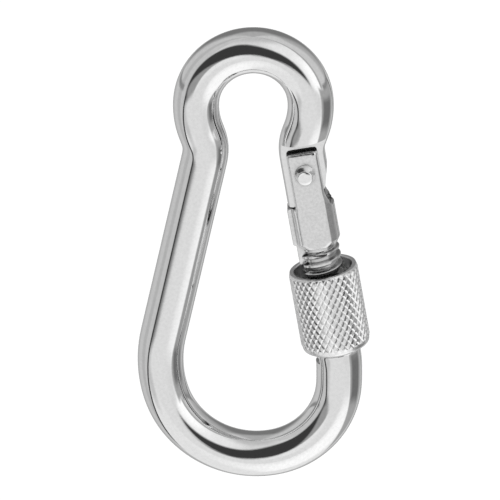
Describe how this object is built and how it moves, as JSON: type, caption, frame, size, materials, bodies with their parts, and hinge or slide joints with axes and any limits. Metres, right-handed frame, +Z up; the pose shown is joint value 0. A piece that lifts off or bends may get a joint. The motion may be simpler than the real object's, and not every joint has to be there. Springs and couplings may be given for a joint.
{
  "type": "spring snap hook",
  "caption": "Pear-shaped steel snap hook for keys: a round bent bar, a spring-loaded gate on a rivet, and a knurled screw sleeve that locks the gate.",
  "frame": {"origin": "centre of the small eye, on the mid-plane of the bar", "axes": "+Z up along the hook from the large loop to the small eye, +X towards the gate, +Y to the back along the rivet"},
  "size_m": [0.0305, 0.0092, 0.0627],
  "materials": {
    "polished_steel": "polished stainless, near mirror",
    "gate_steel": "milled and tumbled stainless",
    "knurled_steel": "fine diamond knurl, bright",
    "spring_steel": "drawn wire"
  },
  "bodies": {
    "hook": {"hook_body": "polished_steel"},
    "gate": {"gate": "gate_steel", "hinge_rivet": "gate_steel", "gate_spring": "spring_steel"},
    "plunger": {"spring_plunger": "gate_steel"},
    "sleeve_slide": {"sleeve_inner_ring": "knurled_steel"},
    "sleeve": {"lock_sleeve": "knurled_steel"}
  },
  "joints": [
    {"name": "gate_swing", "type": "hinge", "parent": "hook", "child": "gate", "pos_m": [0.00669, 0, -0.00896], "axis": [0, 1, 0], "range_deg": [0, 25], "stiffness_Nm_per_rad": 0.045, "springref_deg": -25.78},
    {"name": "plunger_slide", "type": "slide", "parent": "gate", "child": "plunger", "axis": [0.1668, 0, -0.986], "range_m": [0, 0.00058], "deforming": ["gate_spring"]},
    {"name": "sleeve_travel", "type": "slide", "parent": "gate", "child": "sleeve_slide", "axis": [-0.1668, 0, 0.986], "range_m": [-0.0015, 0.004]},
    {"name": "sleeve_turn", "type": "hinge", "parent": "sleeve_slide", "child": "sleeve", "pos_m": [0.01002, 0, -0.02868], "axis": [-0.1668, 0, 0.986], "range_deg": [-433, 1153]}
  ],
  "couplings": [
    {"joint": "plunger_slide", "follows": "gate_swing", "m_per_rad": 0.0013},
    {"joint": "sleeve_turn", "follows": "sleeve_travel", "rad_per_m": 5026.5}
  ]
}
